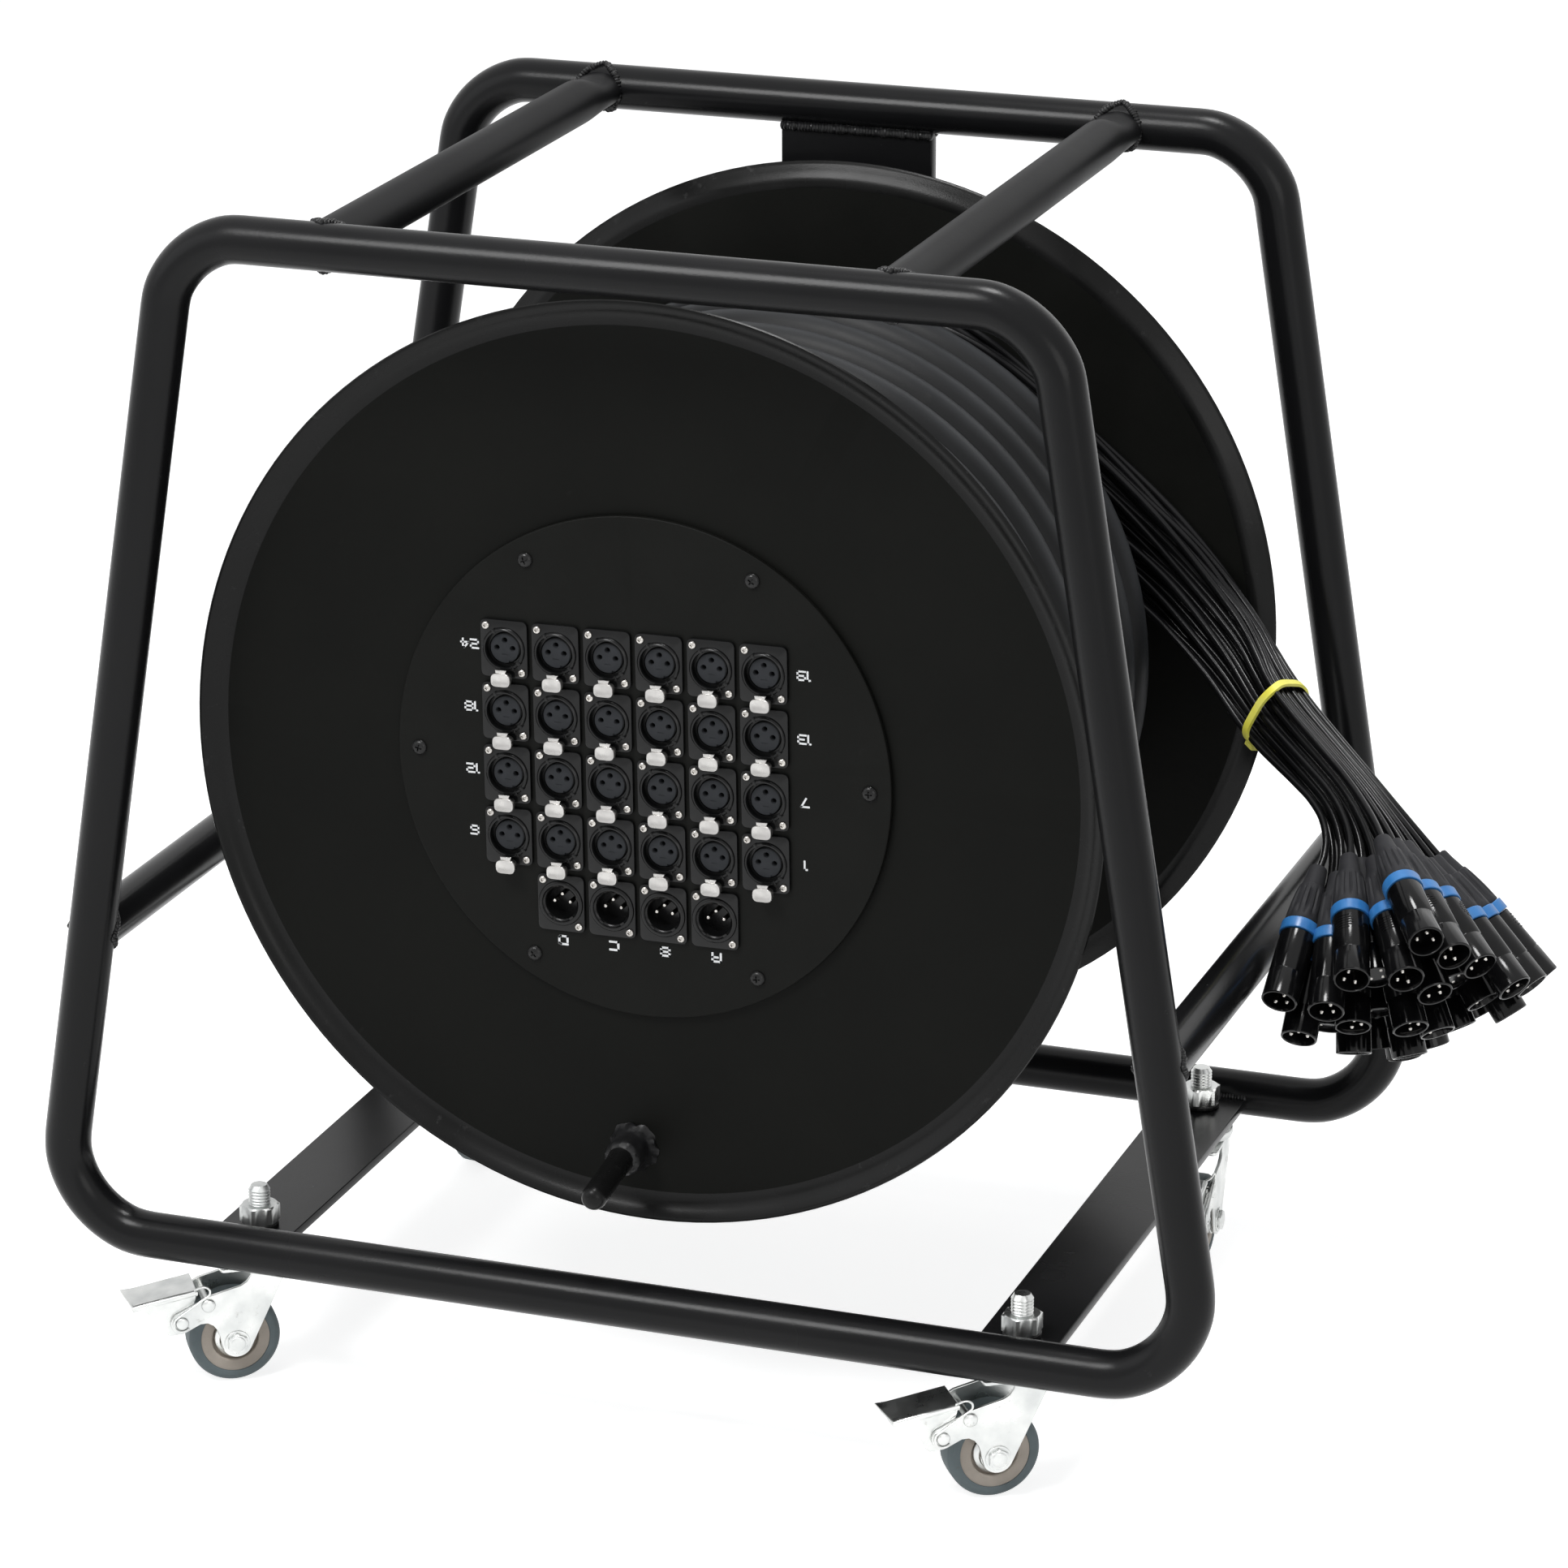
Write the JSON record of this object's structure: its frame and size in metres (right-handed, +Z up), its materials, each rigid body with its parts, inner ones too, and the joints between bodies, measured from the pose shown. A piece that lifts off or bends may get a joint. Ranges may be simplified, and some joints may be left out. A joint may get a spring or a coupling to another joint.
{
  "type": "multicore cable drum",
  "caption": "Cable drum for a stage multicore: wheeled tube frame, drum turning on a stub axle, socket panel, handle, wound cable and a fan of tails with plugs.",
  "frame": {"origin": "on the floor under the middle of the frame, centred between the frame's sides and between its foremost and rearmost points", "axes": "+Z up, +Y from the socket panel to the rear of the frame along the drum's axle, +X to the viewer's right when the panel is faced"},
  "size_m": [0.7631, 0.4384, 0.6514],
  "materials": {
    "frame_paint": "satin powder coat",
    "drum_paint": "matte, finely textured",
    "socket_plastic": "gloss",
    "tab_metal": "bright plated",
    "screw_black": "blackened",
    "cable_rubber": "matte",
    "sleeve_rubber": "matte",
    "tail_rubber": "satin",
    "tie_plastic": "matte",
    "zinc": "zinc plated",
    "tyre_rubber": "matte",
    "core_plastic": "matte",
    "axle_steel": "machined"
  },
  "bodies": {
    "frame": {"front_frame": "frame_paint", "rear_frame": "frame_paint", "top_crossbar_left": "frame_paint", "top_crossbar_right": "frame_paint", "side_tube_left": "frame_paint", "side_tube_right": "frame_paint", "base_bar_left": "frame_paint", "base_bar_right": "frame_paint", "axle_plate": "frame_paint", "stub_axle": "axle_steel", "axle_nut": "zinc", "axle_keeper_ring": "axle_steel", "caster_stud_front_left": "zinc", "caster_stud_front_right": "zinc", "caster_stud_rear_left": "zinc", "caster_stud_rear_right": "zinc", "multicore_end": "cable_rubber", "breakout_sleeve": "sleeve_rubber", "tail_loom": "tail_rubber", "tail_tie": "tie_plastic"},
    "drum": {"front_flange": "drum_paint", "rear_flange": "drum_paint", "drum_barrel": "drum_paint", "cable_grommet": "sleeve_rubber", "inner_cable": "cable_rubber", "hub_tube": "drum_paint", "bearing_front": "axle_steel", "bearing_rear": "axle_steel", "hub_web": "drum_paint", "connector_panel": "drum_paint", "panel_screws": "screw_black", "line_sockets_row_1": "socket_plastic", "line_sockets_row_2": "socket_plastic", "line_sockets_row_3": "socket_plastic", "line_sockets_row_4": "socket_plastic", "return_sockets_row": "socket_plastic", "handle_boss": "drum_paint", "turning_handle": "drum_paint", "cable_winding": "cable_rubber", "cable_core_layers": "cable_rubber"},
    "tabs_1": {"push_tabs_row_1": "tab_metal"},
    "tabs_2": {"push_tabs_row_2": "tab_metal"},
    "tabs_3": {"push_tabs_row_3": "tab_metal"},
    "tabs_4": {"push_tabs_row_4": "tab_metal"},
    "swivel_front_left": {"caster_fork_front_left": "zinc"},
    "wheel_front_left": {"caster_tyre_front_left": "tyre_rubber", "caster_core_front_left": "core_plastic"},
    "pedal_front_left": {"brake_pedal_front_left": "zinc"},
    "swivel_front_right": {"caster_fork_front_right": "zinc"},
    "wheel_front_right": {"caster_tyre_front_right": "tyre_rubber", "caster_core_front_right": "core_plastic"},
    "pedal_front_right": {"brake_pedal_front_right": "zinc"},
    "swivel_rear_left": {"caster_fork_rear_left": "zinc"},
    "wheel_rear_left": {"caster_tyre_rear_left": "tyre_rubber", "caster_core_rear_left": "core_plastic"},
    "pedal_rear_left": {"brake_pedal_rear_left": "zinc"},
    "swivel_rear_right": {"caster_fork_rear_right": "zinc"},
    "wheel_rear_right": {"caster_tyre_rear_right": "tyre_rubber", "caster_core_rear_right": "core_plastic"},
    "pedal_rear_right": {"brake_pedal_rear_right": "zinc"}
  },
  "joints": [
    {"name": "drum_spin", "type": "hinge", "parent": "frame", "child": "drum", "pos_m": [0, 0, 0.3626], "axis": [0, 1, 0], "continuous": true},
    {"name": "tabs_push_1", "type": "slide", "parent": "drum", "child": "tabs_1", "axis": [0, 1, 0], "range_m": [0, 0.0015], "stiffness_N_per_m": 400, "springref_m": -0.002},
    {"name": "tabs_push_2", "type": "slide", "parent": "drum", "child": "tabs_2", "axis": [0, 1, 0], "range_m": [0, 0.0015], "stiffness_N_per_m": 400, "springref_m": -0.002},
    {"name": "tabs_push_3", "type": "slide", "parent": "drum", "child": "tabs_3", "axis": [0, 1, 0], "range_m": [0, 0.0015], "stiffness_N_per_m": 400, "springref_m": -0.002},
    {"name": "tabs_push_4", "type": "slide", "parent": "drum", "child": "tabs_4", "axis": [0, 1, 0], "range_m": [0, 0.0015], "stiffness_N_per_m": 400, "springref_m": -0.002},
    {"name": "swivel_front_left_turn", "type": "hinge", "parent": "frame", "child": "swivel_front_left", "pos_m": [-0.215, -0.167, 0.07], "axis": [0, 0, 1], "continuous": true},
    {"name": "wheel_front_left_spin", "type": "hinge", "parent": "swivel_front_left", "child": "wheel_front_left", "pos_m": [-0.22893, -0.17675, 0.025], "axis": [-0.5736, 0.8192, 0], "continuous": true},
    {"name": "pedal_front_left_press", "type": "hinge", "parent": "swivel_front_left", "child": "pedal_front_left", "pos_m": [-0.25317, -0.19373, 0.0394], "axis": [0.5736, -0.8192, 0], "range_deg": [0, 12], "stiffness_Nm_per_rad": 0.6, "springref_deg": -28.65},
    {"name": "swivel_front_right_turn", "type": "hinge", "parent": "frame", "child": "swivel_front_right", "pos_m": [0.215, -0.167, 0.07], "axis": [0, 0, 1], "continuous": true},
    {"name": "wheel_front_right_spin", "type": "hinge", "parent": "swivel_front_right", "child": "wheel_front_right", "pos_m": [0.20107, -0.17675, 0.025], "axis": [-0.5736, 0.8192, 0], "continuous": true},
    {"name": "pedal_front_right_press", "type": "hinge", "parent": "swivel_front_right", "child": "pedal_front_right", "pos_m": [0.17683, -0.19373, 0.0394], "axis": [0.5736, -0.8192, 0], "range_deg": [0, 12], "stiffness_Nm_per_rad": 0.6, "springref_deg": -28.65},
    {"name": "swivel_rear_left_turn", "type": "hinge", "parent": "frame", "child": "swivel_rear_left", "pos_m": [-0.215, 0.167, 0.07], "axis": [0, 0, 1], "continuous": true},
    {"name": "wheel_rear_left_spin", "type": "hinge", "parent": "swivel_rear_left", "child": "wheel_rear_left", "pos_m": [-0.21619, 0.15004, 0.025], "axis": [-0.9976, 0.0698, 0], "continuous": true},
    {"name": "pedal_rear_left_press", "type": "hinge", "parent": "swivel_rear_left", "child": "pedal_rear_left", "pos_m": [-0.21825, 0.12051, 0.0394], "axis": [0.9976, -0.0698, 0], "range_deg": [0, 12], "stiffness_Nm_per_rad": 0.6, "springref_deg": -28.65},
    {"name": "swivel_rear_right_turn", "type": "hinge", "parent": "frame", "child": "swivel_rear_right", "pos_m": [0.215, 0.167, 0.07], "axis": [0, 0, 1], "continuous": true},
    {"name": "wheel_rear_right_spin", "type": "hinge", "parent": "swivel_rear_right", "child": "wheel_rear_right", "pos_m": [0.21589, 0.15002, 0.025], "axis": [-0.9986, -0.0523, 0], "continuous": true},
    {"name": "pedal_rear_right_press", "type": "hinge", "parent": "swivel_rear_right", "child": "pedal_rear_right", "pos_m": [0.21744, 0.12046, 0.0394], "axis": [0.9986, 0.0523, 0], "range_deg": [0, 12], "stiffness_Nm_per_rad": 0.6, "springref_deg": -28.65}
  ]
}
